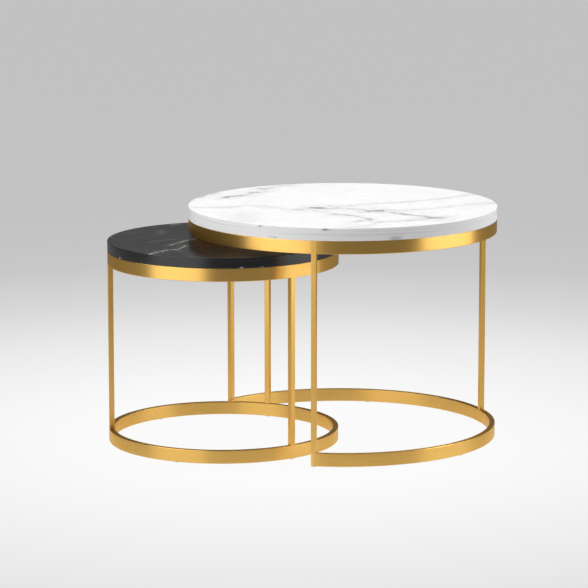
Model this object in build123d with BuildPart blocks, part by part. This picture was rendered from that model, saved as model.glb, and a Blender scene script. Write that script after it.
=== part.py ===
from build123d import *

import os
from dataclasses import dataclass
from math import cos, radians, sin, sqrt

# A nest of two round side tables. Each has a stone disc screwed down on a hoop of flat bar,
# three square legs welded under the hoop, and a second hoop of the same bar on the floor.
# The large table's floor hoop is left open between two of its legs, so the small table,
# whose floor hoop is a full circle, slides in under it along X.
# Millimetres, Z up, origin on the floor at the middle of the nest's footprint.

# Bar stock that both frames are made from
HOOP_HEIGHT = 25.0
HOOP_THICKNESS = 10.0
HOOP_EDGE_RADIUS = 0.8
LEG_SIDE = 10.0
LEG_EDGE_RADIUS = 0.6
LEG_SPACING = 120.0

# Stone
STONE_TOP_ARRIS = 1.0
STONE_UNDER_ARRIS = 0.6

# Tabs welded inside the upper hoop, which the stone is screwed down on
TAB_LENGTH = 26.0
TAB_WIDTH = 24.0
TAB_THICKNESS = 3.0
TAB_CORNER_RADIUS = 5.0
TAB_HOLE_RADIUS = 3.5
TAB_HOLE_INSET = 13.0
TAB_OFFSET = LEG_SPACING / 2

# Fixing stack at each tab, from the head of the screw up into the stone
SCREW_RADIUS = 3.0
SCREW_LENGTH = 16.0
SCREW_TIP_CHAMFER = 0.8
HEAD_RADIUS = 5.25
HEAD_HEIGHT = 3.3
HEAD_CROWN_RADIUS = 2.4
SOCKET_ACROSS_FLATS = 4.0
SOCKET_DEPTH = 2.1
WASHER_RADIUS = 6.0
WASHER_HOLE_RADIUS = 3.2
WASHER_THICKNESS = 1.2
CUSHION_RADIUS = 8.0
CUSHION_THICKNESS = 1.0
INSERT_RADIUS = 4.5
INSERT_BORE_RADIUS = 3.02
INSERT_LENGTH = 12.0
INSERT_GROOVE_DEPTH = 0.5
INSERT_GROOVE_WIDTH = 1.6
INSERT_HOLE_RADIUS = 4.55
INSERT_HOLE_DEPTH = 12.5

# Push-in glides under the floor hoop
GLIDE_RADIUS = 4.5
GLIDE_HEIGHT = 1.5
GLIDE_CHAMFER = 0.3
GLIDE_STEM_RADIUS = 2.0
GLIDE_STEM_LENGTH = 8.0
GLIDE_HOLE_RADIUS = 2.05
GLIDE_HOLE_DEPTH = 8.5

# The two tables and how far apart they stand
LARGE_DIAMETER = 600.0
LARGE_HEIGHT = 454.0
LARGE_STONE_THICKNESS = 24.0
LARGE_LEG_ANGLE = 6.5
SMALL_DIAMETER = 447.0
SMALL_HEIGHT = 394.0
SMALL_STONE_THICKNESS = 20.0
SMALL_LEG_ANGLE = 55.0
PULLED_OUT = 237.0

NEST_LENGTH = LARGE_DIAMETER / 2 + PULLED_OUT + SMALL_DIAMETER / 2


@dataclass
class Table:
    """One table: its sizes, where it stands on X, and the bearing of each named leg in degrees."""

    name: str
    centre_x: float
    radius: float
    height: float
    stone_thickness: float
    legs: dict
    open_between: tuple = ()

    @property
    def stone_bottom(self):
        return self.height - self.stone_thickness

    @property
    def upper_hoop_bottom(self):
        return self.stone_bottom - HOOP_HEIGHT

    @property
    def floor_hoop_top(self):
        return GLIDE_HEIGHT + HOOP_HEIGHT

    @property
    def hoop_inner_radius(self):
        return self.radius - HOOP_THICKNESS

    @property
    def leg_face_distance(self):
        """Distance from the table's axis to a leg's flat outer face, whose edges lie on the hoop's circle."""
        return sqrt(self.radius**2 - (LEG_SIDE / 2) ** 2)

    @property
    def fixing_radius(self):
        return self.hoop_inner_radius - TAB_HOLE_INSET

    @property
    def tab_angles(self):
        return [angle + TAB_OFFSET for angle in self.legs.values()]

    @property
    def glide_angles(self):
        """One glide under each leg and one halfway between two legs wherever the floor hoop runs on."""
        angles = list(self.legs.values())
        for name, angle in self.legs.items():
            if not self.open_between or name != self.open_between[0]:
                angles.append(angle + LEG_SPACING / 2)
        return sorted(angle % 360 for angle in angles)

    def level(self, height):
        """A horizontal plane at that height, centred on the table's axis."""
        return Plane((self.centre_x, 0, height))

    def point(self, radius, angle, height):
        return (
            self.centre_x + radius * cos(radians(angle)),
            radius * sin(radians(angle)),
            height,
        )


large = Table(
    name="large",
    centre_x=NEST_LENGTH / 2 - LARGE_DIAMETER / 2,
    radius=LARGE_DIAMETER / 2,
    height=LARGE_HEIGHT,
    stone_thickness=LARGE_STONE_THICKNESS,
    legs={
        "side": LARGE_LEG_ANGLE,
        "rear": LARGE_LEG_ANGLE + LEG_SPACING,
        "front": LARGE_LEG_ANGLE + 2 * LEG_SPACING,
    },
    open_between=("rear", "front"),
)

small = Table(
    name="small",
    centre_x=SMALL_DIAMETER / 2 - NEST_LENGTH / 2,
    radius=SMALL_DIAMETER / 2,
    height=SMALL_HEIGHT,
    stone_thickness=SMALL_STONE_THICKNESS,
    legs={
        "rear": SMALL_LEG_ANGLE,
        "side": SMALL_LEG_ANGLE + LEG_SPACING,
        "front": SMALL_LEG_ANGLE + 2 * LEG_SPACING,
    },
)


def save(piece, name):
    """Labels a finished piece and writes it to its own STEP file."""
    piece.label = name
    export_step(piece, f"parts/{name}.step")


def make_stone_top(table):
    """Stone disc with eased edges and three blind holes underneath for the threaded inserts."""
    with BuildPart() as stone:
        with BuildSketch(table.level(table.stone_bottom)):
            Circle(table.radius)
        extrude(amount=table.stone_thickness)
        fillet(stone.edges().sort_by(Axis.Z)[-1], STONE_TOP_ARRIS)
        fillet(stone.edges().sort_by(Axis.Z)[0], STONE_UNDER_ARRIS)
        with BuildSketch(table.level(table.stone_bottom)):
            with PolarLocations(table.fixing_radius, 3, start_angle=table.tab_angles[0]):
                Circle(INSERT_HOLE_RADIUS)
        extrude(amount=INSERT_HOLE_DEPTH, mode=Mode.SUBTRACT)
    return stone.part


def make_hoop(table, bottom, glide_angles=()):
    """Hoop of flat bar on edge, dressed flat over each leg's width, with holes for the glides."""
    section_plane = Plane((table.centre_x, 0, bottom), x_dir=(1, 0, 0), z_dir=(0, -1, 0))
    with BuildPart() as hoop:
        with BuildSketch(section_plane):
            with Locations((table.radius - HOOP_THICKNESS / 2, HOOP_HEIGHT / 2)):
                RectangleRounded(HOOP_THICKNESS, HOOP_HEIGHT, HOOP_EDGE_RADIUS)
        revolve(axis=Axis((table.centre_x, 0, 0), (0, 0, 1)))
        with BuildSketch(table.level(bottom)):
            for angle in table.legs.values():
                with PolarLocations(table.leg_face_distance + LEG_SIDE / 2, 1, start_angle=angle):
                    Rectangle(LEG_SIDE, 2 * LEG_SIDE)
        extrude(amount=HOOP_HEIGHT, mode=Mode.SUBTRACT)
        if glide_angles:
            with BuildSketch(table.level(bottom)):
                for angle in glide_angles:
                    with PolarLocations(table.radius - HOOP_THICKNESS / 2, 1, start_angle=angle):
                        Circle(GLIDE_HOLE_RADIUS)
            extrude(amount=GLIDE_HOLE_DEPTH, mode=Mode.SUBTRACT)
    return hoop.part


def make_open_hoop(table, bottom, glide_angles):
    """The same hoop with the stretch between two of the legs left out, cut flush with those legs."""
    first, last = (table.legs[name] for name in table.open_between)
    reach = 2 * table.radius
    start = Plane(table.point(0, first, bottom), x_dir=(cos(radians(first)), sin(radians(first)), 0))
    end = Plane(table.point(0, last, bottom), x_dir=(cos(radians(last)), sin(radians(last)), 0))
    corners = [
        start.from_local_coords((table.radius / 2, LEG_SIDE / 2, 0)),
        start.from_local_coords((reach, LEG_SIDE / 2, 0)),
        Vector(*table.point(2 * reach, (first + last) / 2, bottom)),
        end.from_local_coords((reach, -LEG_SIDE / 2, 0)),
        end.from_local_coords((table.radius / 2, -LEG_SIDE / 2, 0)),
    ]
    with BuildPart() as hoop:
        add(make_hoop(table, bottom, glide_angles))
        with BuildSketch(Plane.XY.offset(bottom)):
            with BuildLine():
                Polyline(*[(corner.X, corner.Y) for corner in corners], close=True)
            make_face()
        extrude(amount=HOOP_HEIGHT, mode=Mode.SUBTRACT)
    return hoop.part


def make_leg(table, angle):
    """Square bar with its flat outer face flush with the hoops."""
    with BuildPart() as leg:
        with BuildSketch(table.level(table.floor_hoop_top)):
            with PolarLocations(table.leg_face_distance - LEG_SIDE / 2, 1, start_angle=angle):
                RectangleRounded(LEG_SIDE, LEG_SIDE, LEG_EDGE_RADIUS)
        extrude(amount=table.upper_hoop_bottom - table.floor_hoop_top)
    return leg.part


def make_tab(table, angle):
    """Steel tab welded inside the upper hoop, with a clearance hole for the screw."""
    top = table.stone_bottom - CUSHION_THICKNESS
    inner_end = table.hoop_inner_radius - TAB_LENGTH
    with BuildPart() as tab:
        with BuildSketch(table.level(top - TAB_THICKNESS)):
            with PolarLocations(inner_end + TAB_LENGTH, 1, start_angle=angle):
                RectangleRounded(2 * TAB_LENGTH, TAB_WIDTH, TAB_CORNER_RADIUS)
            Circle(table.hoop_inner_radius, mode=Mode.INTERSECT)
            with PolarLocations(table.fixing_radius, 1, start_angle=angle):
                Circle(TAB_HOLE_RADIUS, mode=Mode.SUBTRACT)
        extrude(amount=TAB_THICKNESS)
    return tab.part


def make_rings(table, bottom, thickness, outer_radius, hole_radius):
    """Three flat rings, one on the axis of each screw."""
    with BuildPart() as rings:
        with BuildSketch(table.level(bottom)):
            with PolarLocations(table.fixing_radius, 3, start_angle=table.tab_angles[0]):
                Circle(outer_radius)
                Circle(hole_radius, mode=Mode.SUBTRACT)
        extrude(amount=thickness)
    return rings.part


def make_inserts(table):
    """Three threaded sleeves set into the stone, each with a groove that keys it into the resin."""
    with BuildPart() as inserts:
        with BuildSketch(table.level(table.stone_bottom)):
            with PolarLocations(table.fixing_radius, 3, start_angle=table.tab_angles[0]):
                Circle(INSERT_RADIUS)
        extrude(amount=INSERT_LENGTH)
        groove_bottom = table.stone_bottom + (INSERT_LENGTH - INSERT_GROOVE_WIDTH) / 2
        with BuildSketch(table.level(groove_bottom)):
            with PolarLocations(table.fixing_radius, 3, start_angle=table.tab_angles[0]):
                Circle(INSERT_RADIUS)
                Circle(INSERT_RADIUS - INSERT_GROOVE_DEPTH, mode=Mode.SUBTRACT)
        extrude(amount=INSERT_GROOVE_WIDTH, mode=Mode.SUBTRACT)
        with BuildSketch(table.level(table.stone_bottom)):
            with PolarLocations(table.fixing_radius, 3, start_angle=table.tab_angles[0]):
                Circle(INSERT_BORE_RADIUS)
        extrude(amount=INSERT_LENGTH, mode=Mode.SUBTRACT)
    return inserts.part


def make_screws(table):
    """Three button-head screws with hex sockets, pointing up through the tabs into the inserts."""
    seat = table.stone_bottom - CUSHION_THICKNESS - TAB_THICKNESS - WASHER_THICKNESS
    with BuildPart() as screws:
        for angle in table.tab_angles:
            x, y, z = table.point(table.fixing_radius, angle, seat)
            with BuildSketch(Plane((x, y, z), x_dir=(1, 0, 0), z_dir=(0, -1, 0))) as half:
                with BuildLine():
                    Polyline(
                        (0, -HEAD_HEIGHT),
                        (HEAD_RADIUS - HEAD_CROWN_RADIUS, -HEAD_HEIGHT),
                    )
                    EllipticalCenterArc(
                        (HEAD_RADIUS - HEAD_CROWN_RADIUS, 0),
                        HEAD_CROWN_RADIUS,
                        HEAD_HEIGHT,
                        start_angle=-90,
                        arc_size=90,
                    )
                    Polyline(
                        (HEAD_RADIUS, 0),
                        (SCREW_RADIUS, 0),
                        (SCREW_RADIUS, SCREW_LENGTH - SCREW_TIP_CHAMFER),
                        (SCREW_RADIUS - SCREW_TIP_CHAMFER, SCREW_LENGTH),
                        (0, SCREW_LENGTH),
                        (0, -HEAD_HEIGHT),
                    )
                make_face()
            revolve(axis=Axis((x, y, z), (0, 0, 1)))
            with BuildSketch(Plane((x, y, z - HEAD_HEIGHT))):
                RegularPolygon(SOCKET_ACROSS_FLATS / 2, 6, major_radius=False)
            extrude(amount=SOCKET_DEPTH, mode=Mode.SUBTRACT)
    return screws.part


def make_glide(table, angle):
    """Push-in plastic button: a flat head on the floor and a stem up into the hoop."""
    with BuildPart() as glide:
        with BuildSketch(Plane(table.point(table.radius - HOOP_THICKNESS / 2, angle, 0))):
            Circle(GLIDE_RADIUS)
        extrude(amount=GLIDE_HEIGHT)
        chamfer(glide.edges().sort_by(Axis.Z)[0], GLIDE_CHAMFER)
        with BuildSketch(Plane(table.point(table.radius - HOOP_THICKNESS / 2, angle, GLIDE_HEIGHT))):
            Circle(GLIDE_STEM_RADIUS)
        extrude(amount=GLIDE_STEM_LENGTH)
    return glide.part


def write_table(table):
    """Makes and writes every piece of one table."""
    tab_top = table.stone_bottom - CUSHION_THICKNESS
    washer_bottom = tab_top - TAB_THICKNESS - WASHER_THICKNESS
    make_floor_hoop = make_open_hoop if table.open_between else make_hoop

    save(make_stone_top(table), f"{table.name}_stone_top")
    save(make_hoop(table, table.upper_hoop_bottom), f"{table.name}_upper_hoop")
    save(make_floor_hoop(table, GLIDE_HEIGHT, table.glide_angles), f"{table.name}_floor_hoop")
    for leg_name, angle in table.legs.items():
        save(make_leg(table, angle), f"{table.name}_{leg_name}_leg")
    for number, angle in enumerate(table.tab_angles, start=1):
        save(make_tab(table, angle), f"{table.name}_fixing_tab_{number}")
    for number, angle in enumerate(table.glide_angles, start=1):
        save(make_glide(table, angle), f"{table.name}_glide_{number}")
    cushions = make_rings(table, tab_top, CUSHION_THICKNESS, CUSHION_RADIUS, TAB_HOLE_RADIUS)
    save(cushions, f"{table.name}_cushion_rings")
    washers = make_rings(table, washer_bottom, WASHER_THICKNESS, WASHER_RADIUS, WASHER_HOLE_RADIUS)
    save(washers, f"{table.name}_washers")
    save(make_screws(table), f"{table.name}_screws")
    save(make_inserts(table), f"{table.name}_threaded_inserts")


os.makedirs("parts", exist_ok=True)
for table in (large, small):
    write_table(table)
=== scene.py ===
"""Looks for a nest of two round side tables, laid out as a Blender add-on.

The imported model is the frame: the tables' places and outer sizes are read from its nodes. The
stone tops, hoops, legs and weld beads are built here; the small fixings keep their own shapes.
"""

from math import asin, atan2, cos, pi, radians, sin, sqrt

import bmesh
import bpy
from bpy.props import FloatProperty, FloatVectorProperty, IntProperty, PointerProperty
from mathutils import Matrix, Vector


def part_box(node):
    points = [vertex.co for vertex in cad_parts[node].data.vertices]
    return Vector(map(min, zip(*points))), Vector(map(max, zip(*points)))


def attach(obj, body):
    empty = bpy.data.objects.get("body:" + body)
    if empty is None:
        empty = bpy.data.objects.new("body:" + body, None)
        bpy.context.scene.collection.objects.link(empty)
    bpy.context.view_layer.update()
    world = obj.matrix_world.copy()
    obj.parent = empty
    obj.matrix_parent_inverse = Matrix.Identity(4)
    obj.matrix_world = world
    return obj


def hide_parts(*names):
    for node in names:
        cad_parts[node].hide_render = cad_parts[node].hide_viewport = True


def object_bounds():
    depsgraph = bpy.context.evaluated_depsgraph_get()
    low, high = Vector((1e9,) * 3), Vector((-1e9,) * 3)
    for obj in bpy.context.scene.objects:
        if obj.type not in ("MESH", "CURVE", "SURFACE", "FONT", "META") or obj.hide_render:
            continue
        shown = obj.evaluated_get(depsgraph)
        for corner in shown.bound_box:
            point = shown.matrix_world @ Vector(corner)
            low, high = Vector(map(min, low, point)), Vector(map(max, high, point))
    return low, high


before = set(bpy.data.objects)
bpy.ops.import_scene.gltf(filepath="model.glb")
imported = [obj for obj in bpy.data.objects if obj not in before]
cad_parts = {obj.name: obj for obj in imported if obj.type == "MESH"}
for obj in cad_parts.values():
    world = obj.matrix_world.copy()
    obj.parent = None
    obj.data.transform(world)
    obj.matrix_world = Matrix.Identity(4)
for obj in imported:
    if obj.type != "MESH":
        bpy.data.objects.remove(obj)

cad_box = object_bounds()

bl_info = {
    "name": "Nesting side tables",
    "version": (1, 0, 0),
    "blender": (4, 5, 0),
    "location": "3D View > Sidebar > Nesting tables",
    "description": "Builds the stone tops, brushed gold frames and studio of two nesting side tables",
    "category": "Object",
}

MM = 0.001

# ---- What the frame says about each table ----


class Table:
    """Sizes and places of one table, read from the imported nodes."""

    def __init__(self, name, leg_names, open_between=()):
        self.name = name
        self.body = f"{name}_table"
        self.leg_names = leg_names
        self.stone_low, self.stone_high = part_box(f"{name}_stone_top")
        self.upper_low, self.upper_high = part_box(f"{name}_upper_hoop")
        self.floor_low, self.floor_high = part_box(f"{name}_floor_hoop")
        self.centre = (self.upper_low + self.upper_high) / 2
        size = self.upper_high - self.upper_low
        self.radius = max(size.x, size.y) / 2
        self.hoop_height = size.z
        self.leg_angles = {leg: self.bearing(f"{name}_{leg}_leg") for leg in leg_names}
        self.opening = [self.leg_angles[leg] for leg in open_between]
        self.tab_angles = [self.bearing(f"{name}_fixing_tab_{number}") for number in (1, 2, 3)]

    def bearing(self, node):
        """Bearing of a node's middle, seen from the table's axis."""
        low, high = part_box(node)
        return atan2((low.y + high.y) / 2 - self.centre.y, (low.x + high.x) / 2 - self.centre.x)

    def point(self, radius, angle, height):
        x = self.centre.x + radius * cos(angle)
        y = self.centre.y + radius * sin(angle)
        return Vector((x, y, height))


LARGE = Table("large", ("side", "rear", "front"), open_between=("rear", "front"))
SMALL = Table("small", ("rear", "side", "front"))
TABLES = (LARGE, SMALL)

# ---- Sizes and colours a user would change ----


def amount(name, description, default, **kind):
    return FloatProperty(name=name, description=description, default=default, min=0.0, **kind)


def length(name, description, default):
    return amount(name, description, default, subtype="DISTANCE", unit="LENGTH")


def share(name, description, default):
    return amount(name, description, default, max=1.0, subtype="FACTOR")


def angle(name, description, default):
    return FloatProperty(
        name=name, description=description, default=radians(default), subtype="ANGLE", unit="ROTATION"
    )


def colour(name, description, default):
    return FloatVectorProperty(
        name=name, description=description, default=default, min=0.0, max=1.0, subtype="COLOR"
    )


class NestStoneSettings(bpy.types.PropertyGroup):
    """The two marble discs."""

    top_arris: length("Top arris", "Radius of the rounded upper edge", 1.0 * MM)
    under_arris: length("Under arris", "Radius of the rounded lower edge", 0.6 * MM)
    insert_inset: length("Insert inset", "From the stone's rim to the middle of an insert", 23.0 * MM)
    insert_hole_radius: length("Insert hole", "Radius of the blind holes for the inserts", 4.55 * MM)
    insert_hole_depth: length("Insert hole depth", "Depth of those holes", 12.5 * MM)
    white: colour("White ground", "Ground colour of the white marble", (0.90, 0.90, 0.905))
    white_vein: colour("White marble's veins", "Colour at the heart of a vein", (0.085, 0.09, 0.12))
    black: colour("Black ground", "Ground colour of the black marble", (0.010, 0.010, 0.011))
    black_vein: colour("Black marble's veins", "Colour at the heart of a vein", (0.62, 0.63, 0.64))
    polish: share("Face roughness", "Roughness of the polished faces", 0.24)
    edge_polish: share("Edge roughness", "Roughness of the black disc's upright edge", 0.26)


class NestMetalSettings(bpy.types.PropertyGroup):
    """The brushed gold frames."""

    hoop_thickness: length("Hoop thickness", "Thickness of the flat bar", 10.0 * MM)
    hoop_edge: length("Hoop edge", "Radius of the bar's long edges", 0.8 * MM)
    leg_side: length("Leg side", "Side of the square legs", 10.0 * MM)
    leg_edge: length("Leg edge", "Radius of the legs' long edges", 0.6 * MM)
    end_edge: length("Cut end", "Size of the eased edge round the open hoop's ends", 0.4 * MM)
    bead_width: length("Bead width", "Width of a weld bead", 2.4 * MM)
    bead_pitch: length("Bead pitch", "Distance between two ripples of a weld", 0.9 * MM)
    bead_seed: IntProperty(name="Bead seed", description="Seed of the ripples' unevenness", default=4)
    gold: colour("Gold", "Colour of the plating", (0.90, 0.545, 0.145))
    roughness: share("Roughness", "Roughness of the satin surface", 0.34)
    grain: share("Grain", "How far the brushing spreads the hoops' reflections", 0.75)
    leg_grain: share("Leg grain", "How far the brushing spreads the legs' reflections", 0.0)
    leg_roughness: share("Leg roughness", "Roughness of the legs' satin surface", 0.32)


class NestStageSettings(bpy.types.PropertyGroup):
    """Floor, lights and camera."""

    azimuth: angle("Azimuth", "Bearing that the camera looks from", -12.3)
    elevation: angle("Elevation", "Height of the camera above the horizon", 10.13)
    distance: length("Distance", "From the camera to the point it looks at", 5.98)
    focal_length: amount("Focal length", "Focal length of the camera in millimetres", 188.0)
    floor_radius: length("Floor radius", "Radius of the floor", 40.0)
    # The floor's brightness is painted light: the floor glows by itself, brightest round the tables
    floor_near: amount("Floor near", "Brightness of the floor round the tables", 0.955)
    floor_far: amount("Floor far", "Brightness of the floor far away", 0.545)
    # The pools are painted light: the floor glows there by itself, and only reflections see it
    pool_near: amount("Pool near", "Glow of the floor under the tables, as they reflect it", 0.83)
    pool_round: amount("Pool round", "Glow of the floor just round the tables", 0.69)
    pool_far: amount("Pool far", "Glow of the floor farther out", 0.27)
    pool_left: amount("Pool left", "Glow of the floor in front of the left softbox", 0.81)
    pool_right: amount("Pool right", "Glow of the floor in front of the right softbox", 0.565)
    pool_front: amount("Pool front", "Glow of the floor towards the camera", 0.19)
    surroundings: amount("Surroundings", "Brightness of the unlit studio", 0.01)
    behind: amount("Behind", "Brightness of the studio straight behind the tables", 0.18)
    left_light: amount("Left light", "Radiance of the left softbox", 2.6)
    left_low_light: amount("Left low light", "Radiance of the panel under the left softbox", 1.135)
    left_high_light: amount("Left high light", "Radiance of the high softbox at the left", 4.84)
    front_high_light: amount("Front high light", "Radiance of the softbox above the left one", 2.46)
    right_light: amount("Right light", "Radiance of the right softbox", 1.9)
    right_high_light: amount("Right high light", "Radiance of the high softbox at the right", 6.85)
    top_light: amount("Top light", "Radiance of the softbox overhead", 1.3)


# ---- Shader building ----


class Shader:
    """Adds nodes to one node tree. A value may be a number, a tuple or another node's output."""

    def __init__(self, tree):
        self.tree = tree
        self.tree.nodes.clear()

    def add(self, kind, values=None, **settings):
        node = self.tree.nodes.new(kind)
        for name, value in settings.items():
            setattr(node, name, value)
        for key, value in (values or {}).items():
            if isinstance(value, bpy.types.NodeSocket):
                self.tree.links.new(value, node.inputs[key])
            else:
                node.inputs[key].default_value = value
        return node

    def out(self, kind, values=None, **settings):
        """First output of a new node."""
        return self.add(kind, values, **settings).outputs[0]

    def math(self, operation, *values, clamp=False):
        return self.out("ShaderNodeMath", dict(enumerate(values)), operation=operation, use_clamp=clamp)

    def plus(self, first, second):
        return self.math("ADD", first, second)

    def minus(self, first, second):
        return self.math("SUBTRACT", first, second)

    def times(self, first, second):
        return self.math("MULTIPLY", first, second)

    def most(self, first, *others):
        """The largest of the values. An empty first one is left out."""
        for other in others:
            first = other if first is None else self.math("MAXIMUM", first, other)
        return first

    def vector(self, operation, *values, output=0):
        node = self.add("ShaderNodeVectorMath", dict(enumerate(values)), operation=operation)
        return node.outputs[output]

    def scaled(self, vector, factor):
        return self.out("ShaderNodeVectorMath", {0: vector, "Scale": factor}, operation="SCALE")

    def between(self, value, low, high, to_low=0.0, to_high=1.0, smooth=True):
        """Maps value from low..high to to_low..to_high, clamped."""
        node = self.add("ShaderNodeMapRange", {
            "Value": value, "From Min": low, "From Max": high, "To Min": to_low, "To Max": to_high
        })
        node.interpolation_type = "SMOOTHSTEP" if smooth else "LINEAR"
        return node.outputs["Result"]

    def noise(self, vector, scale, detail=2.0, roughness=0.5, output="Fac"):
        values = {"Vector": vector, "Scale": scale, "Detail": detail, "Roughness": roughness}
        return self.add("ShaderNodeTexNoise", values).outputs[output]

    def stretched(self, vector, location=(0, 0, 0), scale=(1, 1, 1)):
        values = {"Vector": vector, "Location": location, "Scale": scale}
        return self.out("ShaderNodeMapping", values)

    def mix(self, factor, first, second):
        """Colour between first and second, by factor."""
        values = {0: factor}
        for key, tint in ((6, first), (7, second)):
            values[key] = tint if isinstance(tint, bpy.types.NodeSocket) else (*tint, 1.0)
        return self.add("ShaderNodeMix", values, data_type="RGBA").outputs[2]

    def object_point(self):
        return self.add("ShaderNodeTexCoord").outputs["Object"]

    def emission(self, tint, strength):
        return self.out("ShaderNodeEmission", {"Color": tint, "Strength": strength})

    def surface(self, tint, roughness, relief, depth, strength, others=None):
        """Ends a material. The relief's depth is in millimetres."""
        values = {"Height": relief, "Distance": depth * MM, "Strength": strength}
        normal = self.out("ShaderNodeBump", values)
        values = {"Base Color": tint, "Roughness": roughness, "Normal": normal, **(others or {})}
        self.end(self.out("ShaderNodeBsdfPrincipled", values))

    def end(self, surface):
        self.add("ShaderNodeOutputMaterial", {"Surface": surface})


def new_material(name):
    material = bpy.data.materials.new(name)
    material.use_nodes = True
    return material, Shader(material.node_tree)


def darker(tint, share_kept):
    return tuple(value * share_kept for value in tint)


def distance_to_run(shader, point, start, end):
    """Distance in plan from point to the straight run between start and end."""
    start, run = Vector((*start, 0)), Vector((*end, 0)) - Vector((*start, 0))
    away = shader.vector("SUBTRACT", point, start)
    along = shader.vector("DOT_PRODUCT", away, run / run.length_squared, output=1)
    along = shader.math("MINIMUM", shader.math("MAXIMUM", along, 0.0), 1.0)
    nearest = shader.scaled(tuple(run), along)
    return shader.vector("DISTANCE", away, nearest, output=1)


def vein_strength(shader, point, veins, unevenness, halo):
    """How strongly the listed veins colour a point: each has a crisp heart and a soft halo.

    halo is how many times wider than its heart a vein's halo is.
    """
    hearts = glows = None
    for width, heart, glow, points in veins:
        points = [(x * MM, y * MM) for x, y in points]
        distance = None
        for start, end in zip(points, points[1:]):
            to_run = distance_to_run(shader, point, start, end)
            distance = to_run if distance is None else shader.math("MINIMUM", distance, to_run)
        reach = shader.times(unevenness, width * MM)
        hearts = shader.most(hearts, shader.between(distance, reach, 0.0, 0.0, heart))
        glows = shader.most(glows, shader.between(distance, shader.times(reach, halo), 0.0, 0.0, glow))
    return hearts, glows


def warped(shader, point, moves):
    """Shifts a point in plan by layers of noise, each given as (scale, amount, detail)."""
    for scale, shift, detail in moves:
        colour_noise = shader.noise(point, scale, detail, 0.55, output="Color")
        centred = shader.vector("SUBTRACT", colour_noise, (0.5, 0.5, 0.5))
        point = shader.vector("ADD", point, shader.scaled(centred, shift))
    return shader.vector("MULTIPLY", point, (1, 1, 0))


# Veins as (width, strength at the heart, strength of the halo, points), millimetres from the axis
WHITE_VEINS = (
    (10.0, 0.32, 0.07, [
        (-28, -12), (16, -16), (64, -2), (108, -3), (157, 14), (183, 24), (237, 55), (296, 76),
    ]),
    (10.0, 0.20, 0.05, [(105, -100), (143, -92), (177, -81), (214, -62), (253, -50), (294, -46)]),
    (11.0, 0.24, 0.08, [
        (-292, 24), (-236, 12), (-184, 24), (-158, 7), (-137, -12), (-122, -35), (-102, -48),
    ]),
    (11.0, 0.30, 0.09, [(-100, -45), (-65, -33), (-40, -41), (-5, -30)]),
    (10.0, 0.22, 0.07, [(-97, -37), (-68, -74), (-45, -101), (-25, -128), (-11, -148)]),
    (11.0, 0.32, 0.09, [
        (-36, -45), (-5, -56), (25, -69), (38, -92), (57, -99), (76, -95), (105, -100),
    ]),
    (11.0, 0.56, 0.12, [
        (68, -125), (79, -136), (91, -156), (110, -169), (121, -180), (126, -200), (148, -205),
    ]),
    (11.0, 0.46, 0.10, [(-52, -116), (-29, -130), (-11, -148), (0, -173), (10, -192), (4, -210)]),
    (10.0, 0.34, 0.09, [
        (-30, -216), (-10, -206), (4, -216), (22, -230), (44, -228), (72, -226), (104, -222),
        (126, -202),
    ]),
    (11.0, 0.24, 0.09, [(-56, -284), (-26, -278), (4, -250), (22, -230)]),
    (11.0, 0.60, 0.13, [(-206, 140), (-194, 156), (-178, 158), (-160, 162)]),
    (12.5, 0.26, 0.08, [
        (-160, 162), (-140, 196), (-123, 197), (-107, 202), (-110, 244), (-96, 252), (-72, 275),
        (-38, 286),
    ]),
    (12.5, 0.30, 0.13, [(-256, 150), (-240, 178), (-214, 206)]),
    (17.0, 0.12, 0.10, [(-221, -79), (-224, -146), (-240, -178)]),
    (17.0, 0.85, 0.20, [(38, -93), (58, -98)]),
    (15.5, 0.82, 0.17, [(-66, -34), (-48, -36)]),
    (14.0, 0.52, 0.13, [(-109, -46), (-95, -47)]),
    (15.5, 0.66, 0.18, [(124, -202), (142, -207)]),
    (14.0, 0.48, 0.10, [(-140, 197), (-124, 197)]),
    (14.0, 0.46, 0.10, [(-112, 247), (-98, 250)]),
)
BLACK_VEINS = (
    (4.0, 1.00, 0.10, [
        (-174, -150), (-155, -131), (-139, -115), (-123, -101), (-108, -104), (-98, -87), (-85, -58),
    ]),
    (3.6, 1.00, 0.10, [
        (-111, -47), (-99, -33), (-86, -20), (-71, -1), (-50, 18), (-20, 34), (8, 66), (44, 84),
    ]),
    (2.6, 0.90, 0.08, [(44, 84), (72, 128), (118, 150), (146, 178)]),
    (1.6, 0.60, 0.06, [(-128, -60), (-109, -48), (-96, -52)]),
    (1.4, 0.60, 0.06, [(-110, -101), (-112, -114), (-104, -132)]),
    (2.2, 0.30, 0.05, [(-146, -6), (-119, 11), (-100, 18), (-88, 14)]),
    (4.0, 0.15, 0.05, [(-98, 134), (-104, 90)]),
    (3.0, 0.60, 0.06, [(-66, 196), (-48, 208)]),
    (1.6, 0.55, 0.05, [
        (68, -206), (74, -190), (92, -160), (96, -118), (128, -84), (182, -70), (218, -48),
    ]),
    (1.4, 0.45, 0.04, [(44, 84), (60, 60), (96, 48), (128, 22), (176, 14)]),
    (1.2, 0.40, 0.04, [(-20, 34), (-14, 4), (10, -24)]),
    (1.6, 0.50, 0.05, [(-206, 62), (-214, 74)]),
)

# Marks on the discs' edges as (bearing in degrees, height above the underside, width, strength), in
# millimetres. Each is this many times longer than it is high.
MARK_FLATNESS = 2.4
WHITE_EDGE_MARKS = (
    (226.0, 21.5, 12.0, 0.70),
    (250.6, 21.5, 16.0, 0.75),
    (232.0, 2.5, 15.0, 0.50),
    (276.0, 2.0, 18.0, 0.40),
    (24.0, 21.0, 13.0, 0.60),
    (98.0, 3.0, 16.0, 0.50),
    (151.0, 20.5, 13.0, 0.60),
)
BLACK_EDGE_MARKS = (
    (198.0, 1.5, 4.0, 0.9),
    (268.0, 1.2, 6.0, 0.8),
    (278.0, 1.2, 3.5, 0.6),
    (292.0, 19.0, 3.0, 0.8),
    (62.0, 1.5, 5.0, 0.8),
    (139.0, 18.0, 3.5, 0.7),
)


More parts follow.
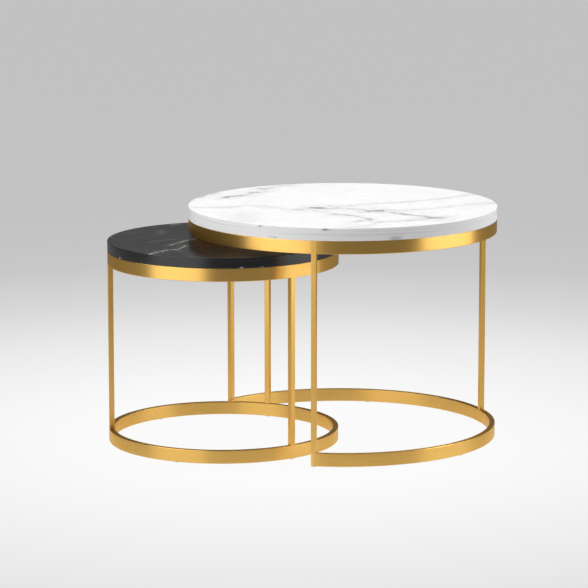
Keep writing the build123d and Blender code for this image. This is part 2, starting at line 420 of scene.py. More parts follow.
def edge_marks(shader, point, table, marks, unevenness):
    """Small marks where a vein comes out of a disc's edge, longer than they are high."""
    strongest = None
    for bearing, height, width, strength in marks:
        middle = table.point(table.radius, radians(bearing), table.stone_low.z + height * MM)
        away = shader.vector("SUBTRACT", point, tuple(middle - table.centre))
        away = shader.vector("MULTIPLY", away, (1, 1, MARK_FLATNESS))
        reach = shader.times(unevenness, width * MM)
        mark = shader.between(shader.vector("LENGTH", away, output=1), reach, 0.0, 0.0, strength)
        strongest = shader.most(strongest, mark)
    return strongest


def on_edge(shader):
    """1 on a disc's upright edge and 0 on its flat faces."""
    normal = shader.add("ShaderNodeNewGeometry").outputs["Normal"]
    level = shader.math("ABSOLUTE", shader.vector("DOT_PRODUCT", normal, (0, 0, 1), output=1))
    return shader.between(level, 0.9, 0.4)


def white_marble(settings, table):
    """Near-white stone with thin smoky veins, faint clouding, and bedding lines on its edge."""
    material, shader = new_material("white_marble")
    point = shader.stretched(shader.object_point(), location=tuple(-table.centre))
    plan = warped(shader, point, ((6.0, 14 * MM, 2.0), (24.0, 10 * MM, 3.0), (110.0, 3.0 * MM, 2.0)))
    thickness = shader.between(shader.noise(point, 34.0, 3.0, 0.6), 0.34, 0.66, 0.45, 1.5)
    hearts, glows = vein_strength(shader, plan, WHITE_VEINS, thickness, 3.6)
    broken = shader.between(shader.noise(point, 60.0, 4.0, 0.65), 0.30, 0.62, 0.60, 1.35)
    veins = shader.times(hearts, broken)

    cloud = shader.between(shader.noise(plan, 5.5, 5.0, 0.6), 0.54, 0.82, 0.0, 0.09)
    hair = shader.math("ABSOLUTE", shader.minus(shader.noise(plan, 7.0, 4.0, 0.6), 0.5))
    hair = shader.between(hair, 0.012, 0.0, 0.0, 0.09)
    sparse = shader.between(shader.noise(point, 3.0, 1.0), 0.46, 0.62)
    face_grey = shader.plus(shader.most(veins, glows, shader.times(hair, sparse)), cloud)

    edge = on_edge(shader)
    beds = shader.noise(shader.stretched(point, scale=(2.0, 2.0, 210.0)), 1.0, 3.0, 0.7)
    beds = shader.between(beds, 0.46, 0.72, 0.0, 0.19)
    marks = edge_marks(shader, point, table, WHITE_EDGE_MARKS, thickness)
    edge_grey = shader.most(shader.plus(beds, 0.02), marks)
    face_grey = shader.times(face_grey, shader.minus(1.0, edge))
    grey = shader.math("ADD", face_grey, shader.times(edge_grey, edge), clamp=True)
    crystals = shader.between(shader.noise(point, 900.0, 2.0, 0.5), 0.3, 0.7, 0.0, 0.05)
    ground = shader.mix(crystals, settings.white, (0.80, 0.81, 0.83))
    tint = shader.mix(grey, ground, settings.white_vein)
    smears = shader.noise(point, 14.0, 4.0, 0.6)
    roughness = shader.between(smears, 0.3, 0.7, settings.polish, settings.polish + 0.05)
    shader.surface(tint, roughness, shader.noise(point, 260.0, 3.0), 0.02, 0.35, {"IOR": 1.06})
    return material


def black_marble(settings, table):
    """Black stone with a few broken white veins and scattered flecks."""
    material, shader = new_material("black_marble")
    point = shader.stretched(shader.object_point(), location=tuple(-table.centre))
    plan = warped(shader, point, ((26.0, 10 * MM, 3.0), (95.0, 4.5 * MM, 4.0), (420.0, 1.2 * MM, 2.0)))
    thickness = shader.between(shader.noise(point, 70.0, 3.0, 0.6), 0.30, 0.70, 0.25, 1.5)
    hearts, glows = vein_strength(shader, plan, BLACK_VEINS, thickness, 5.0)
    broken = shader.between(shader.noise(point, 130.0, 4.0, 0.7), 0.36, 0.58, 0.15, 1.0)
    veins = shader.times(hearts, broken)

    hair = shader.math("ABSOLUTE", shader.minus(shader.noise(plan, 9.0, 5.0, 0.62), 0.5))
    hair = shader.between(hair, 0.006, 0.0, 0.0, 0.16)
    sparse = shader.between(shader.noise(point, 5.0, 1.0), 0.54, 0.66)
    hair = shader.times(hair, sparse)
    flecks = shader.add("ShaderNodeTexVoronoi", {"Vector": point, "Scale": 95.0}).outputs["Distance"]
    few = shader.between(shader.noise(point, 21.0, 1.0), 0.60, 0.66)
    flecks = shader.times(shader.between(flecks, 0.10, 0.04, 0.0, 0.45), few)

    smoke = shader.between(shader.noise(plan, 11.0, 5.0, 0.6), 0.40, 0.80, 0.0, 0.05)
    edge = on_edge(shader)
    face = shader.times(shader.most(veins, glows, hair), shader.minus(1.0, edge))
    beds = shader.noise(shader.stretched(point, scale=(4.0, 4.0, 420.0)), 1.0, 3.0, 0.7)
    beds = shader.between(beds, 0.52, 0.76, 0.0, 0.05)
    marks = edge_marks(shader, point, table, BLACK_EDGE_MARKS, thickness)
    light = shader.most(face, shader.times(shader.most(beds, marks), edge), flecks)
    ground = shader.mix(smoke, settings.black, (0.16, 0.165, 0.17))
    tint = shader.mix(light, ground, settings.black_vein)
    smears = shader.between(shader.noise(point, 18.0, 4.0, 0.6), 0.3, 0.7, 0.0, 0.05)
    ground_in = shader.between(edge, 0.0, 1.0, settings.polish - 0.03, settings.edge_polish)
    roughness = shader.plus(smears, ground_in)
    shader.surface(tint, roughness, shader.noise(point, 300.0, 3.0), 0.02, 0.35, {"IOR": 1.5})
    return material


METAL = {"Metallic": 1.0}


def brushed_gold(settings, name, satin, grain):
    """Satin gold plate, brushed along the bar. The pattern follows each bar's own UV map."""
    material, shader = new_material(name)
    along = shader.out("ShaderNodeUVMap", uv_map="bar")
    point = shader.object_point()
    fine = shader.noise(shader.stretched(along, scale=(22.0, 2600.0, 1.0)), 1.0, 3.0, 0.6)
    coarse = shader.noise(shader.stretched(along, scale=(7.0, 620.0, 1.0)), 1.0, 2.0, 0.5)
    streaks = shader.plus(shader.times(fine, 0.6), shader.times(coarse, 0.4))
    patches = shader.noise(point, 9.0, 3.0, 0.55)
    marks = shader.between(shader.noise(point, 34.0, 4.0, 0.62), 0.60, 0.72, 0.0, 0.05)

    shade = shader.between(streaks, 0.32, 0.68, 0.0, 0.30)
    shade = shader.plus(shade, shader.between(patches, 0.35, 0.65, 0.0, 0.16))
    tint = shader.mix(shade, settings.gold, darker(settings.gold, 0.74))
    roughness = shader.between(streaks, 0.3, 0.7, satin - 0.05, satin + 0.06)
    roughness = shader.plus(roughness, marks)
    tangent = shader.out("ShaderNodeTangent", direction_type="UV_MAP", uv_map="bar")
    shader.surface(tint, roughness, streaks, 0.03, 0.5, {
        **METAL,
        "Specular Tint": (1.0, 0.86, 0.62, 1.0),
        "Anisotropic": grain,
        "Anisotropic Rotation": 0.25,
        "Tangent": tangent,
    })
    return material


def weld_gold(settings):
    """The same plate over a weld: a little duller and uneven, with no brushing."""
    material, shader = new_material("plated_weld")
    grain = shader.noise(shader.object_point(), 700.0, 3.0, 0.6)
    tint = shader.mix(grain, settings.gold, darker(settings.gold, 0.6))
    roughness = shader.between(grain, 0.3, 0.7, 0.38, 0.52)
    shader.surface(tint, roughness, grain, 0.05, 0.6, METAL)
    return material


def tab_gold(settings):
    """Plated sheet steel as it comes off the shears, not brushed."""
    material, shader = new_material("plated_tab")
    point = shader.object_point()
    grain = shader.noise(point, 480.0, 4.0, 0.6)
    patches = shader.noise(point, 60.0, 3.0, 0.5)
    tint = shader.mix(patches, settings.gold, darker(settings.gold, 0.72))
    roughness = shader.between(grain, 0.3, 0.7, 0.36, 0.48)
    shader.surface(tint, roughness, grain, 0.03, 0.5, METAL)
    return material


# Small parts and their finishes: name, fresh colour, worn colour, roughness and, where moulded,
# how fine the grain is
TURNED_PARTS = {
    "screws": ("zinc_screw", (0.62, 0.63, 0.65), (0.42, 0.43, 0.45), 0.30),
    "washers": ("zinc_washer", (0.66, 0.67, 0.69), (0.48, 0.49, 0.50), 0.34),
    "threaded_inserts": ("insert_brass", (0.78, 0.58, 0.26), (0.55, 0.40, 0.18), 0.30),
}
MOULDED_PARTS = {
    "cushion_rings": ("cushion_rubber", (0.022, 0.022, 0.023), (0.05, 0.05, 0.05), 0.72, 900.0),
    "glide": ("glide_nylon", (0.92, 0.92, 0.90), (0.80, 0.79, 0.76), 0.48, 1400.0),
}


def turned_metal(name, base, worn, satin):
    """Small turned part. Its tool marks run level round its axis, as a tight grain."""
    material, shader = new_material(name)
    point = shader.object_point()
    rings = shader.noise(shader.stretched(point, scale=(60.0, 60.0, 2600.0)), 1.0, 2.0, 0.5)
    patches = shader.noise(point, 220.0, 4.0, 0.6)
    tint = shader.mix(shader.between(patches, 0.35, 0.7), base, worn)
    roughness = shader.between(patches, 0.3, 0.7, satin - 0.06, satin + 0.08)
    shader.surface(tint, roughness, rings, 0.02, 0.5, METAL)
    return material


def moulded(name, base, worn, matt, grain_scale):
    """Moulded rubber or plastic with a fine matt grain and slight scuffing."""
    material, shader = new_material(name)
    point = shader.object_point()
    grain = shader.noise(point, grain_scale, 3.0, 0.6)
    scuffs = shader.between(shader.noise(point, 160.0, 4.0, 0.65), 0.45, 0.7)
    roughness = shader.between(grain, 0.3, 0.7, matt - 0.05, matt + 0.08)
    shader.surface(shader.mix(scuffs, base, worn), roughness, grain, 0.04, 0.6)
    return material


# ---- Mesh building ----

# From a rounded edge to the extra points beside it
SUPPORT = 0.35 * MM


def round_pairs(items):
    """Each item of a closed ring with the next one."""
    return list(zip(items, items[1:] + items[:1]))


def corner(centre, radius, start, turn, steps):
    """Points of a rounded corner, from bearing start through turn, in degrees."""
    return [
        (centre[0] + radius * cos(radians(start + turn * step / steps)),
         centre[1] + radius * sin(radians(start + turn * step / steps)))
        for step in range(steps + 1)
    ]


def rounded_rectangle(width, height, radius, steps=4):
    """Counter-clockwise outline. Extra points beside each corner keep the flats flat."""
    outline = []
    ways = ((-1, 0), (0, -1), (1, 0), (0, 1))
    for quarter, (sign_x, sign_y) in enumerate(((1, -1), (1, 1), (-1, 1), (-1, -1))):
        centre = (sign_x * (width / 2 - radius), sign_y * (height / 2 - radius))
        arc = corner(centre, radius, 90 * quarter - 90, 90, steps)
        back, on = ways[quarter], ways[quarter - 1]
        outline.append((arc[0][0] + back[0] * SUPPORT, arc[0][1] + back[1] * SUPPORT))
        outline += arc
        outline.append((arc[-1][0] + on[0] * SUPPORT, arc[-1][1] + on[1] * SUPPORT))
    return outline


def new_object(name, data):
    item = bpy.data.objects.new(name, data)
    bpy.context.scene.collection.objects.link(item)
    return item


def finish_mesh(bm, name, material, sharp_edges=()):
    """Turns a bmesh into a smooth-shaded object whose normals point outwards."""
    bmesh.ops.recalc_face_normals(bm, faces=bm.faces[:])
    for face in bm.faces:
        face.smooth = True
    for edge in sharp_edges:
        edge.smooth = False
    mesh = bpy.data.meshes.new(name)
    bm.to_mesh(mesh)
    bm.free()
    mesh.materials.append(material)
    return new_object(name, mesh)


def settle(piece, body, slot, *nodes):
    """Puts a finished piece on its body, in place of the nodes it stands for. The slot is not used."""
    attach(piece, body)
    if nodes:
        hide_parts(*nodes)
    return piece


def swept_bar(sections, outline, closed, name, material):
    """Skins a bar through sections, each a (distance along, points, crease) with the outline's points.

    Its UV map holds the distance along the bar and the distance round the outline.
    """
    across = [0.0]
    for here, there in round_pairs(outline):
        across.append(across[-1] + (Vector(there) - Vector(here)).length)
    bm = bmesh.new()
    uv = bm.loops.layers.uv.new("bar")
    rings = [[bm.verts.new(point) for point in points] for _, points, _ in sections]
    count = len(rings[0])
    spans = list(zip(range(len(rings)), range(1, len(rings))))
    if closed:
        spans.append((len(rings) - 1, 0))
    for first, second in spans:
        start, end = sections[first][0], sections[second][0]
        if second == 0:
            end = start + (sections[1][0] - sections[0][0])
        for k in range(count):
            following = (k + 1) % count
            corners = (
                (rings[first][k], start, across[k]),
                (rings[second][k], end, across[k]),
                (rings[second][following], end, across[k + 1]),
                (rings[first][following], start, across[k + 1]),
            )
            face = bm.faces.new([vertex for vertex, _, _ in corners])
            for loop, (_, along, over) in zip(face.loops, corners):
                loop[uv].uv = (along, over)
    sharp = []
    if not closed:
        for ring, (along, points, _) in ((rings[0], sections[0]), (rings[-1], sections[-1])):
            cap = bm.faces.new(ring)
            for loop, point in zip(cap.loops, points):
                loop[uv].uv = (along + (Vector(point) - Vector(points[0])).length, across[0])
            sharp += list(cap.edges)
    for (_, _, crease), ring in zip(sections, rings):
        sharp += [bm.edges.get((ring[k], ring[(k + 1) % count])) for k in crease]
    return finish_mesh(bm, name, material, sharp)


# ---- Pieces ----

RIM_STEPS = 288
HOLE_STEPS = 32
LEG_STEPS = 12
SAME_ANGLE = 1e-6


def make_top(table, settings, material, slot):
    """Polished disc with eased edges and blind holes underneath."""
    radius, low, high = table.radius, table.stone_low.z, table.stone_high.z
    top, under = settings.top_arris, settings.under_arris
    profile = [(radius - top - SUPPORT, high)]
    profile += corner((radius - top, high - top), top, 90, -90, 6)
    profile.append((radius, high - top - SUPPORT))
    profile.append((radius, low + under + SUPPORT))
    profile += corner((radius - under, low + under), under, 0, -90, 5)
    profile.append((radius - under - SUPPORT, low))

    bm = bmesh.new()
    rings = [
        [bm.verts.new(table.point(r, 2 * pi * step / RIM_STEPS, z)) for step in range(RIM_STEPS)]
        for r, z in profile
    ]
    for upper, lower in zip(rings, rings[1:]):
        for above, below in zip(round_pairs(upper), round_pairs(lower)):
            bm.faces.new((above[0], *below, above[1]))
    middle = bm.verts.new(table.point(0, 0, high))
    for pair in round_pairs(rings[0]):
        bm.faces.new((middle, *pair))

    mouths = [bm.edges.get(pair) for pair in round_pairs(rings[-1])]
    sharp = []
    hole_radius = settings.insert_hole_radius
    turns = [2 * pi * step / HOLE_STEPS for step in range(HOLE_STEPS)]
    for tab_angle in table.tab_angles:
        axis = table.point(radius - settings.insert_inset, tab_angle, low)
        mouth, bottom = [
            [
                bm.verts.new(axis + Vector((hole_radius * cos(turn), hole_radius * sin(turn), depth)))
                for turn in turns
            ]
            for depth in (0.0, settings.insert_hole_depth)
        ]
        for edge, far_edge in zip(round_pairs(mouth), round_pairs(bottom)):
            bm.faces.new((*edge, far_edge[1], far_edge[0]))
            mouths.append(bm.edges.get(edge))
        bm.faces.new(bottom)
        sharp += [edge for vertex in mouth + bottom for edge in vertex.link_edges]
    bmesh.ops.triangle_fill(bm, use_beauty=True, use_dissolve=False, edges=mouths)
    piece = finish_mesh(bm, f"{table.name}_polished_top", material, set(sharp))
    return settle(piece, table.body, slot, f"{table.name}_stone_top")


def hoop_angles(table, half_flat, open_hoop):
    """Bearings of a hoop's sections in order, with the edges of each leg's flat among them."""
    legs = sorted(table.leg_angles.values())
    if open_hoop:
        last, first = table.opening
        while last < first:
            last += 2 * pi
        start, end = first - half_flat, last + half_flat
    else:
        start = legs[0] - half_flat
        end = start + 2 * pi
    marks = []
    for leg in legs:
        for turn in (-2 * pi, 0, 2 * pi):
            for side in (-half_flat, half_flat):
                mark = leg + turn + side
                if start - SAME_ANGLE <= mark <= end + SAME_ANGLE:
                    marks.append(mark)
    marks.sort()
    angles = []
    for here, there in zip(marks, marks[1:] + [end]):
        steps = max(1, round((there - here) / (2 * pi / RIM_STEPS)))
        angles += [here + (there - here) * step / steps for step in range(steps)]
    if open_hoop:
        angles.append(end)
    apart = [k == 0 or angle - angles[k - 1] > SAME_ANGLE for k, angle in enumerate(angles)]
    return [angle for angle, kept in zip(angles, apart) if kept], marks


def make_hoop(table, settings, material, which):
    """Rolled flat bar on edge, dressed flat where each leg meets it."""
    open_hoop = which == "floor" and bool(table.opening)
    low = table.upper_low.z if which == "upper" else table.floor_low.z
    thick, tall = settings.hoop_thickness, table.hoop_height
    half_leg = settings.leg_side / 2
    face = sqrt(table.radius**2 - half_leg**2)
    half_flat = asin(half_leg / table.radius)
    outline = rounded_rectangle(thick, tall, settings.hoop_edge)
    middle = table.radius - thick / 2
    angles, marks = hoop_angles(table, half_flat, open_hoop)
    outer_side = [k for k, (x, _) in enumerate(outline) if x > thick / 2 - settings.hoop_edge * 0.7]

    def outer_cut(angle):
        """How much nearer the axis the outer face is at this bearing."""
        for leg in table.leg_angles.values():
            off = (angle - leg + pi) % (2 * pi) - pi
            if abs(off) < half_flat - SAME_ANGLE / 10:
                return table.radius - face / cos(off)
        return 0.0

    def section(angle, shrink=0.0, tangent=None):
        points = []
        for x, z in outline:
            x -= outer_cut(angle) * max(0.0, x / (thick / 2))
            x *= 1 - 2 * shrink / thick
            z *= 1 - 2 * shrink / tall
            radius = middle + x
            bearing = angle
            if tangent is not None:
                leg, side = tangent
                bearing = leg + side * asin(half_leg / radius)
            points.append(table.point(radius, bearing, low + tall / 2 + z))
        return points

    sections = []
    for angle in angles:
        crease = outer_side if any(abs(angle - mark) < SAME_ANGLE for mark in marks) else []
        sections.append((angle * table.radius, section(angle), crease))
    if open_hoop:
        ease = settings.end_edge
        rear, front = table.opening
        first, last = angles[0], angles[-1]
        turn = ease / table.radius
        sections[0] = (first * table.radius, section(first, ease, (front, -1)), [])
        sections[-1] = (last * table.radius, section(last, ease, (rear, 1)), [])
        sections.insert(1, ((first + turn) * table.radius, section(first + turn), []))
        sections.insert(-1, ((last - turn) * table.radius, section(last - turn), []))
    name = f"{table.name}_brushed_{which}_hoop"
    piece = swept_bar(sections, outline, not open_hoop, name, material)
    return settle(piece, table.body, "gold_steel", f"{table.name}_{which}_hoop")


def make_leg(table, settings, material, leg):
    """Square bar between the hoops, its outer face flush with their flats."""
    side = settings.leg_side
    outline = rounded_rectangle(side, side, settings.leg_edge, 3)
    bearing = table.leg_angles[leg]
    middle = sqrt(table.radius**2 - (side / 2) ** 2) - side / 2
    outward = Vector((cos(bearing), sin(bearing), 0))
    across = Vector((-sin(bearing), cos(bearing), 0))
    axis = table.point(middle, bearing, 0)
    low, high = table.floor_high.z - settings.hoop_edge, table.upper_low.z + settings.hoop_edge
    sections = []
    for step in range(LEG_STEPS + 1):
        height = low + (high - low) * step / LEG_STEPS
        points = [axis + outward * x + across * y + Vector((0, 0, height)) for x, y in outline]
        sections.append((height, points, []))
    name = f"{table.name}_brushed_{leg}_leg"
    piece = swept_bar(sections, outline, False, name, material)
    return settle(piece, table.body, "gold_steel", f"{table.name}_{leg}_leg")


def bead_tree(material):
    """Geometry nodes that lay a row of overlapping ripples along every edge of a mesh."""
    tree = bpy.data.node_groups.new("weld_ripples", "GeometryNodeTree")
    for name, way, kind in (
        ("Seams", "INPUT", "Geometry"), ("Pitch", "INPUT", "Float"), ("Width", "INPUT", "Float"),
        ("Seed", "INPUT", "Int"), ("Beads", "OUTPUT", "Geometry"),
    ):
        tree.interface.new_socket(name, in_out=way, socket_type=f"NodeSocket{kind}")
    shader = Shader(tree)
    given = shader.add("NodeGroupInput").outputs
    curve = shader.out("GeometryNodeMeshToCurve", {"Mesh": given["Seams"]})
    values = {"Curve": curve, "Length": given["Pitch"]}
    spaced = shader.out("GeometryNodeResampleCurve", values, mode="LENGTH")
    ball = shader.add("GeometryNodeMeshIcoSphere", {"Radius": 0.5, "Subdivisions": 2}).outputs["Mesh"]
    smooth = shader.out("GeometryNodeSetShadeSmooth", {"Geometry": ball})
    direction = shader.out("GeometryNodeInputTangent")
    turned = shader.out("FunctionNodeAlignEulerToVector", {"Vector": direction}, axis="X")
    lowest = shader.scaled((0.62, 0.88, 0.88), given["Width"])
    highest = shader.scaled((0.78, 1.12, 1.05), given["Width"])
    values = {0: lowest, 1: highest, "Seed": given["Seed"]}
    uneven = shader.out("FunctionNodeRandomValue", values, data_type="FLOAT_VECTOR")
    values = {"Points": spaced, "Instance": smooth, "Rotation": turned, "Scale": uneven}
    laid = shader.out("GeometryNodeInstanceOnPoints", values)
    solid = shader.out("GeometryNodeRealizeInstances", {"Geometry": laid})
    values = {"Geometry": solid, "Material": material}
    plated = shader.out("GeometryNodeSetMaterial", values)
    shader.add("NodeGroupOutput", {"Beads": plated})
    return tree


# How far a bead's middle is from the leg's inner face, and from the hoop's at a tab
LEG_BEAD_OFF = 0.2 * MM
TAB_BEAD_IN = 0.3 * MM
TAB_HALF_BEAD = 10.5 * MM


def seam_points(table, settings):
    """The welded seams that aren't dressed flush: inside each leg's ends and along each tab."""
    inner = table.radius - settings.hoop_thickness
    leg_inner = sqrt(table.radius**2 - (settings.leg_side / 2) ** 2) - settings.leg_side
    seams = []
    for bearing in table.leg_angles.values():
        half = asin((settings.leg_side / 2 - settings.bead_width / 3) / leg_inner)
        bearings = [bearing + half * k / 4 for k in range(-4, 5)]
        for height in (table.floor_high.z, table.upper_low.z):
            seams.append([table.point(leg_inner + LEG_BEAD_OFF, each, height) for each in bearings])
    half = asin(TAB_HALF_BEAD / inner)
    for number, bearing in enumerate(table.tab_angles, start=1):
        tab_low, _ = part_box(f"{table.name}_fixing_tab_{number}")
        bearings = [bearing + half * k / 6 for k in range(-6, 7)]
        seams.append([table.point(inner - TAB_BEAD_IN, each, tab_low.z) for each in bearings])
    return seams


def make_beads(table, settings, material):
    """Weld beads of one table as one mesh."""
    bm = bmesh.new()
    for seam in seam_points(table, settings):
        row = [bm.verts.new(point) for point in seam]
        for here, there in zip(row, row[1:]):
            bm.edges.new((here, there))
    mesh = bpy.data.meshes.new("seams")
    bm.to_mesh(mesh)
    bm.free()
    guide = new_object("seams", mesh)
    modifier = guide.modifiers.new("ripples", "NODES")
    modifier.node_group = bead_tree(material)
    values = {"Pitch": settings.bead_pitch, "Width": settings.bead_width, "Seed": settings.bead_seed}
    for item in modifier.node_group.interface.items_tree:
        if item.name in values:
            modifier[item.identifier] = values[item.name]
    graph = bpy.context.evaluated_depsgraph_get()
    beads = bpy.data.meshes.new_from_object(guide.evaluated_get(graph))
    bpy.data.objects.remove(guide)
    return settle(new_object(f"{table.name}_weld_beads", beads), table.body, "gold_steel")


def paint(node, material):
    """Gives a node that keeps its own shape a better material."""
    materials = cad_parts[node].data.materials
    materials.clear()
    materials.append(material)


# ---- Stage ----

# In metres: how far the brightest spot of the floor's painted glow is from the tables' middle, how far
# from it the floor reaches its even grey, where the painted pools of light begin and end, and how far
# the upright softboxes stand off.
BRIGHTEST_OFF = 0.04
FLOOR_FADE = 4.0
UNDER_TABLES = (0.35, 0.55)
POOLS_BEGIN = (1.1, 1.3)
SOFTBOX_AWAY = 2.1
# Bearing of the painted glow's brightest spot from the camera's, how far a painted pool of light
# fades at its sides, and half the width and the upper edge of the lighter part of the studio
# behind the tables
BRIGHTEST_BEARING = radians(-60)
SOFT_SIDE = radians(4)
BEHIND_HALF_WIDTH = radians(18)
BEHIND_TOP = (sin(radians(40)), sin(radians(30)))
# How the floor's painted glow fades: (share of the way, share of the near brightness)
FADE_STOPS = (
    (0.0, 1.0), (0.095, 0.985), (0.16, 0.87), (0.27, 0.63),
    (0.375, 0.325), (0.51, 0.07), (0.665, 0.01), (1.0, 0.0),
)
# Shares of the floor's brightness that it gives off itself and that it takes from the lights, and
# of its far grey that the studio behind it shows
FLOOR_GLOW = 0.985
FLOOR_SHADE = 0.035
STUDIO_GREY = 0.95
WHITE = (1, 1, 1, 1)
# From the middle of the nest to the point the camera looks at, in metres
AIM_OFFSET = (-0.0165, 0, 0.054)


def towards(azimuth, elevation):
    """Unit vector from the middle of the nest towards a viewer at that azimuth and elevation."""
    return Vector((sin(azimuth) * cos(elevation), -cos(azimuth) * cos(elevation), sin(elevation)))


def add_softbox(name, azimuth, away, low, width, height, radiance):
    """Rectangular light, unseen itself: upright at that bearing, or overhead where away is 0."""
    light = bpy.data.lights.new(name, "AREA")
    light.shape = "RECTANGLE"
    light.size, light.size_y = width, height
    light.energy = radiance * pi * width * height
    lamp = new_object(name, light)
    out = towards(azimuth, 0.0)
    upright = away > 0
    lamp.location = out * away + Vector((0, 0, low + (height / 2 if upright else 0)))
    facing = -out if upright else Vector((0, 0, -1))
    lamp.rotation_euler = facing.to_track_quat("-Z", "Y").to_euler()
    lamp.visible_camera = False


def sector(shader, heading, azimuth, half_width):
    """1 where a plan direction lies within half_width of an azimuth, fading to 0 at its sides."""
    towards_it = shader.vector("DOT_PRODUCT", heading, tuple(towards(azimuth, 0.0)), output=1)
    return shader.between(towards_it, cos(half_width + SOFT_SIDE), cos(half_width - SOFT_SIDE))


def floor_material(settings):
    """Pale floor that glows by itself: a painted glow, brightest round the tables and fading to the
    grey of the studio.

    The camera sees that painted glow as a pale sweep, with a faint share of real shading from the
    lamps.
    The tables reflect painted pools of light on it, glowing where softboxes would leave them.
    """
    material, shader = new_material("studio_floor")
    brightest = towards(settings.azimuth + BRIGHTEST_BEARING, 0.0) * BRIGHTEST_OFF
    point = shader.object_point()
    spread = shader.vector("LENGTH", shader.vector("SUBTRACT", point, tuple(brightest)), output=1)
    ramp = shader.add("ShaderNodeValToRGB", {"Fac": shader.math("DIVIDE", spread, FLOOR_FADE)})
    near, far = settings.floor_near, settings.floor_far
    elements = ramp.color_ramp.elements
    while len(elements) < len(FADE_STOPS):
        elements.new(0.5)
    for element, (place, weight) in zip(elements, FADE_STOPS):
        value = far + (near - far) * weight
        element.position = place
        element.color = (value, value, value, 1)
    # Painted light: the floor glows with this brightness by itself; only FLOOR_SHADE of it is real
    # shading
    seen = ramp.outputs[0]
    shade = shader.out("ShaderNodeBsdfDiffuse", {"Color": shader.scaled(seen, FLOOR_SHADE)})
    glow = shader.emission(seen, FLOOR_GLOW)
    painted_glow_and_shading = shader.out("ShaderNodeAddShader", {0: glow, 1: shade})

    heading = shader.vector("NORMALIZE", point)
    pool = settings.pool_far
    # Bearing from the camera's and half width of each painted pool of light, in degrees, and its glow
    for offset, half_width, glow_there in (
        (-45, 27, settings.pool_left), (79, 24, settings.pool_right), (19, 36, settings.pool_front)
    ):
        inside = sector(shader, heading, settings.azimuth + radians(offset), radians(half_width))
        pool = shader.plus(pool, shader.times(inside, glow_there - settings.pool_far))
    distance = shader.vector("LENGTH", point, output=1)
    inner = shader.between(distance, *UNDER_TABLES, settings.pool_near, settings.pool_round)
    reach = shader.between(distance, *POOLS_BEGIN)
    inner = shader.times(shader.minus(1.0, reach), inner)
    # Painted pools of light, seen only in reflections: the floor glows there instead of being lit
    painted_reflected_pools = shader.emission(WHITE, shader.plus(inner, shader.times(reach, pool)))
    to_camera = shader.add("ShaderNodeLightPath").outputs["Is Camera Ray"]
    shader.end(shader.out("ShaderNodeMixShader", {0: to_camera, 1: painted_reflected_pools, 2: painted_glow_and_shading}))
    return material


def make_floor(settings):
    bm = bmesh.new()
    bmesh.ops.create_circle(bm, cap_ends=True, segments=96, radius=settings.floor_radius)
    floor = finish_mesh(bm, "studio_floor", floor_material(settings))


def make_world(settings):
    """Dim studio, a little lighter behind the tables; the camera sees the grey of the far floor."""
    world = bpy.data.worlds.new("studio")
    bpy.context.scene.world = world
    world.use_nodes = True
    shader = Shader(world.node_tree)
    heading = shader.add("ShaderNodeTexCoord").outputs["Generated"]
    level = shader.vector("NORMALIZE", shader.vector("MULTIPLY", heading, (1, 1, 0)))
    behind = sector(shader, level, settings.azimuth + pi, BEHIND_HALF_WIDTH)
    height = shader.vector("DOT_PRODUCT", heading, (0, 0, 1), output=1)
    behind = shader.times(behind, shader.between(height, *BEHIND_TOP))
    dim = shader.between(behind, 0.0, 1.0, settings.surroundings, settings.behind, smooth=False)
    to_camera = shader.add("ShaderNodeLightPath").outputs["Is Camera Ray"]
    dim = shader.times(dim, shader.minus(1.0, to_camera))
    strength = shader.plus(dim, shader.times(to_camera, settings.floor_far * STUDIO_GREY))
    background = shader.out("ShaderNodeBackground", {"Color": WHITE, "Strength": strength})
    shader.add("ShaderNodeOutputWorld", {"Surface": background})


def make_camera(settings):
    low, high = cad_box
    aim = (low + high) / 2 + Vector(AIM_OFFSET)
    camera = new_object("camera", bpy.data.cameras.new("camera"))
    camera.data.lens = settings.focal_length
    camera.data.clip_end = 200
    back = towards(settings.azimuth, settings.elevation)
    camera.location = aim + back * settings.distance
    camera.rotation_euler = (-back).to_track_quat("-Z", "Y").to_euler()
    bpy.context.scene.camera = camera


# ---- Operators, panel and registration ----


class NestOperator:
    """What the nest's operators share."""

    bl_options = {"REGISTER", "UNDO"}


class NEST_OT_stone_tops(NestOperator, bpy.types.Operator):
    """Build the white and the black marble top"""

    bl_idname = "nest.stone_tops"
    bl_label = "Stone tops"

    def execute(self, context):
        settings = context.scene.nest_stone
        make_top(LARGE, settings, white_marble(settings, LARGE), "white_marble")
        make_top(SMALL, settings, black_marble(settings, SMALL), "black_marble")
        return {"FINISHED"}


class NEST_OT_frames(NestOperator, bpy.types.Operator):
    """Build the hoops and legs of both brushed gold frames"""

    bl_idname = "nest.frames"
    bl_label = "Hoops and legs"

    def execute(self, context):
        settings = context.scene.nest_metal
        hoop_gold = brushed_gold(settings, "brushed_hoop", settings.roughness, settings.grain)
        leg_gold = brushed_gold(settings, "brushed_leg", settings.leg_roughness, settings.leg_grain)
        for table in TABLES:
            for which in ("upper", "floor"):
                make_hoop(table, settings, hoop_gold, which)
            for leg in table.leg_names:
                make_leg(table, settings, leg_gold, leg)
        return {"FINISHED"}


class NEST_OT_weld_beads(NestOperator, bpy.types.Operator):
    """Lay the weld beads inside both frames"""

    bl_idname = "nest.weld_beads"
    bl_label = "Weld beads"

    def execute(self, context):
        settings = context.scene.nest_metal
        material = weld_gold(settings)
        for table in TABLES:
            make_beads(table, settings, material)
        return {"FINISHED"}


class NEST_OT_fixings(NestOperator, bpy.types.Operator):
    """Finish the tabs, screws, washers, cushion rings, inserts and glides"""

    bl_idname = "nest.fixings"
    bl_label = "Fixings and glides"

    def execute(self, context):
        finishes = {"fixing_tab": tab_gold(context.scene.nest_metal)}
        for make, looks in ((turned_metal, TURNED_PARTS), (moulded, MOULDED_PARTS)):
            for kind, look in looks.items():
                finishes[kind] = make(*look)
        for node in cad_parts:
            for kind, material in finishes.items():
                if kind in node:
                    paint(node, material)
        return {"FINISHED"}


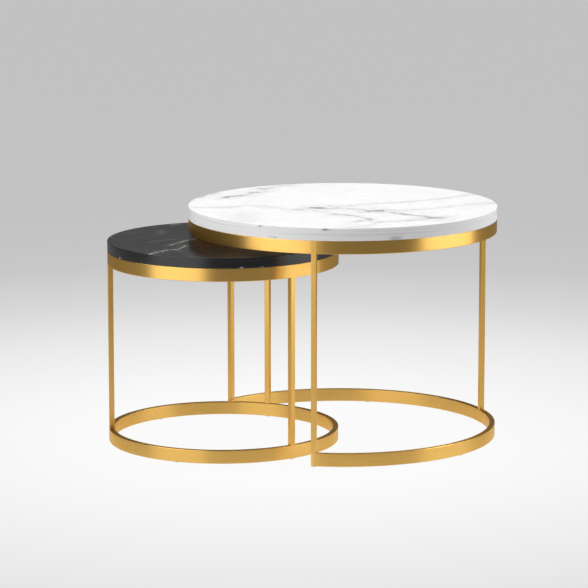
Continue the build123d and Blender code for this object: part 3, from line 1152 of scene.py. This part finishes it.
class NEST_OT_stage(NestOperator, bpy.types.Operator):
    """Set up the floor, the lights and the camera"""

    bl_idname = "nest.stage"
    bl_label = "Stage"

    def execute(self, context):
        settings = context.scene.nest_stage
        make_floor(settings)
        make_world(settings)
        make_camera(settings)
        # Bearing from the camera's in degrees; lower edge, width and height in metres; radiance
        for name, offset, low, width, height, radiance in (
            ("left_softbox", -45, 0.52, 1.96, 0.62, settings.left_light),
            ("left_low_panel", -45, 0.02, 1.96, 0.50, settings.left_low_light),
            ("left_high_softbox", -80, 1.90, 2.40, 1.20, settings.left_high_light),
            ("front_high_softbox", -50, 1.90, 2.20, 1.20, settings.front_high_light),
            ("right_softbox", 80.6, 0.02, 1.84, 1.10, settings.right_light),
            ("right_high_softbox", 110, 1.90, 2.40, 1.20, settings.right_high_light),
        ):
            azimuth = settings.azimuth + radians(offset)
            add_softbox(name, azimuth, SOFTBOX_AWAY, low, width, height, radiance)
        add_softbox("top_softbox", settings.azimuth, 0.0, 2.8, 3.2, 3.2, settings.top_light)
        context.scene.view_settings.view_transform = "Standard"
        return {"FINISHED"}


OPERATORS = (NEST_OT_stone_tops, NEST_OT_frames, NEST_OT_weld_beads, NEST_OT_fixings, NEST_OT_stage)


class NEST_PT_panel(bpy.types.Panel):
    """Lists the steps that build the nest"""

    bl_label = "Nesting tables"
    bl_idname = "NEST_PT_panel"
    bl_space_type = "VIEW_3D"
    bl_region_type = "UI"
    bl_category = "Nesting tables"

    def draw(self, context):
        for operator in OPERATORS:
            self.layout.operator(operator.bl_idname)
        for settings in (context.scene.nest_stone, context.scene.nest_metal, context.scene.nest_stage):
            box = self.layout.box()
            for name in settings.__annotations__:
                box.prop(settings, name)


SETTINGS = {
    "nest_stone": NestStoneSettings,
    "nest_metal": NestMetalSettings,
    "nest_stage": NestStageSettings,
}
CLASSES = (*SETTINGS.values(), *OPERATORS, NEST_PT_panel)


def register():
    for each in CLASSES:
        bpy.utils.register_class(each)
    for name, group in SETTINGS.items():
        setattr(bpy.types.Scene, name, PointerProperty(type=group))


def unregister():
    for name in SETTINGS:
        delattr(bpy.types.Scene, name)
    for each in reversed(CLASSES):
        bpy.utils.unregister_class(each)


def main():
    register()
    bpy.ops.nest.stone_tops()
    bpy.ops.nest.frames()
    bpy.ops.nest.weld_beads()
    bpy.ops.nest.fixings()
    bpy.ops.nest.stage()


if __name__ == "__main__":
    main()
